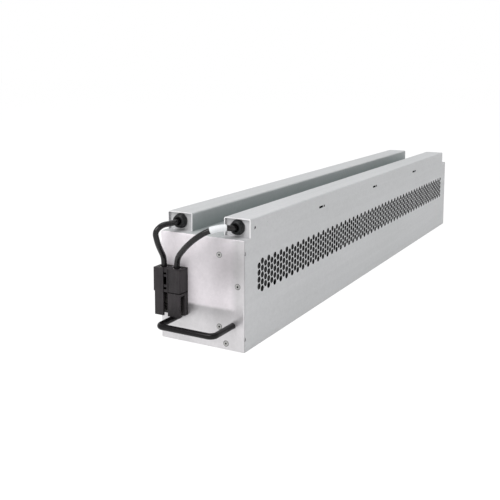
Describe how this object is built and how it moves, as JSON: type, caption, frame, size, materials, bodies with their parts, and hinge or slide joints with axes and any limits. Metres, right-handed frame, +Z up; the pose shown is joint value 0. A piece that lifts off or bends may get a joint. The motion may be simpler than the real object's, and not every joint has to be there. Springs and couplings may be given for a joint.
{
  "type": "ups battery cartridge",
  "caption": "Long galvanised steel battery cartridge with raised wire channels, a vent band, a rod pull handle and leads to a connector at its front.",
  "frame": {"origin": "middle of the base plate's underside", "axes": "+Z up, +X to the right and +Y to the back, with the front plate, handle and connector facing -Y"},
  "size_m": [0.096, 0.759, 0.1285],
  "materials": {
    "galvanised_sheet": "galvanised, satin",
    "zinc_fixings": "zinc plated",
    "handle_paint": "gloss black powder coat",
    "gland_plastic": "satin black",
    "lead_insulation": "satin black",
    "sleeve_plastic": "white heat-shrink",
    "connector_plastic": "charcoal, fine texture",
    "contact_metal": "silver plated",
    "battery_plastic": "dark grey",
    "link_insulation": "red insulation",
    "insulating_sheet": "natural",
    "foam_pad": "dense foam"
  },
  "bodies": {
    "root": {"side_sheet_left": "galvanised_sheet", "side_sheet_right": "galvanised_sheet", "top_plate": "galvanised_sheet", "base_plate": "galvanised_sheet", "front_plate": "galvanised_sheet", "rear_plate": "galvanised_sheet", "channel_front_cap_left": "galvanised_sheet", "channel_front_cap_right": "galvanised_sheet", "channel_rear_cap_left": "galvanised_sheet", "channel_rear_cap_right": "galvanised_sheet", "front_rivets": "zinc_fixings", "handle_nut_left": "zinc_fixings", "handle_nut_right": "zinc_fixings", "connector_pin": "zinc_fixings", "handle_rod": "handle_paint", "gland_left": "gland_plastic", "gland_right": "gland_plastic", "gland_nut_left": "gland_plastic", "gland_nut_right": "gland_plastic", "lead_left": "lead_insulation", "lead_right": "lead_insulation", "channel_lead_left": "lead_insulation", "channel_lead_right": "lead_insulation", "lead_sleeve": "sleeve_plastic", "connector_housing_left": "connector_plastic", "connector_housing_right": "connector_plastic", "connector_contact_left": "contact_metal", "connector_contact_right": "contact_metal", "battery_block_01": "battery_plastic", "battery_block_02": "battery_plastic", "battery_block_03": "battery_plastic", "battery_block_04": "battery_plastic", "battery_block_05": "battery_plastic", "battery_block_06": "battery_plastic", "battery_block_07": "battery_plastic", "battery_block_08": "battery_plastic", "battery_block_09": "battery_plastic", "battery_block_10": "battery_plastic", "block_links": "link_insulation", "floor_insulator": "insulating_sheet", "front_pad": "foam_pad", "rear_pad": "foam_pad"}
  },
  "joints": []
}
